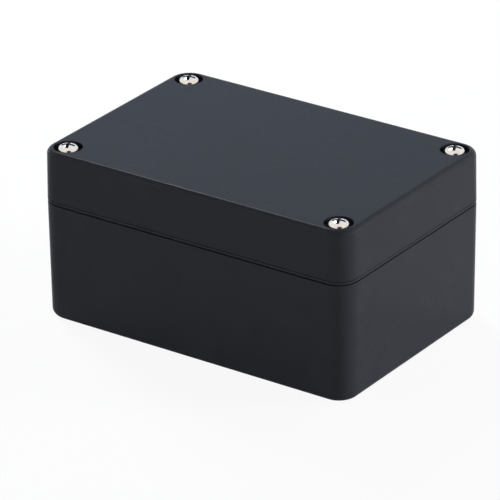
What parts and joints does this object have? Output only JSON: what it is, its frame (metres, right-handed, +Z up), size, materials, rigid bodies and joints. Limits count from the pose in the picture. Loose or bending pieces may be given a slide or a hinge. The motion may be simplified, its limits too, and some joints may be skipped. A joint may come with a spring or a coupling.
{
  "type": "plastic project box",
  "caption": "Sealed rectangular plastic project box: a deep base with board stand-offs, and a gasketed lid held down by recessed corner screws.",
  "frame": {"origin": "middle of the base's underside, on the surface that the box stands on", "axes": "+X along the box's length, +Y across it to the back, +Z up out of the lid"},
  "size_m": [0.1, 0.068, 0.0508],
  "materials": {
    "housing_plastic": "satin black ABS",
    "seal_rubber": "soft matt rubber",
    "screw_steel": "bright stainless steel",
    "insert_brass": "machined brass"
  },
  "bodies": {
    "base": {"base": "housing_plastic", "insert_front_left": "insert_brass", "insert_front_right": "insert_brass", "insert_back_left": "insert_brass", "insert_back_right": "insert_brass"},
    "lid": {"lid": "housing_plastic", "gasket": "seal_rubber"},
    "screw_front_left": {"screw_front_left": "screw_steel"},
    "screw_front_right": {"screw_front_right": "screw_steel"},
    "screw_back_left": {"screw_back_left": "screw_steel"},
    "screw_back_right": {"screw_back_right": "screw_steel"}
  },
  "joints": [
    {"name": "lid_lift", "type": "slide", "parent": "base", "child": "lid", "axis": [0, 0, 1], "range_m": [0, 0.04]},
    {"name": "screw_front_left_out", "type": "slide", "parent": "lid", "child": "screw_front_left", "axis": [0, 0, 1], "range_m": [0, 0.025]},
    {"name": "screw_front_right_out", "type": "slide", "parent": "lid", "child": "screw_front_right", "axis": [0, 0, 1], "range_m": [0, 0.025]},
    {"name": "screw_back_left_out", "type": "slide", "parent": "lid", "child": "screw_back_left", "axis": [0, 0, 1], "range_m": [0, 0.025]},
    {"name": "screw_back_right_out", "type": "slide", "parent": "lid", "child": "screw_back_right", "axis": [0, 0, 1], "range_m": [0, 0.025]}
  ]
}
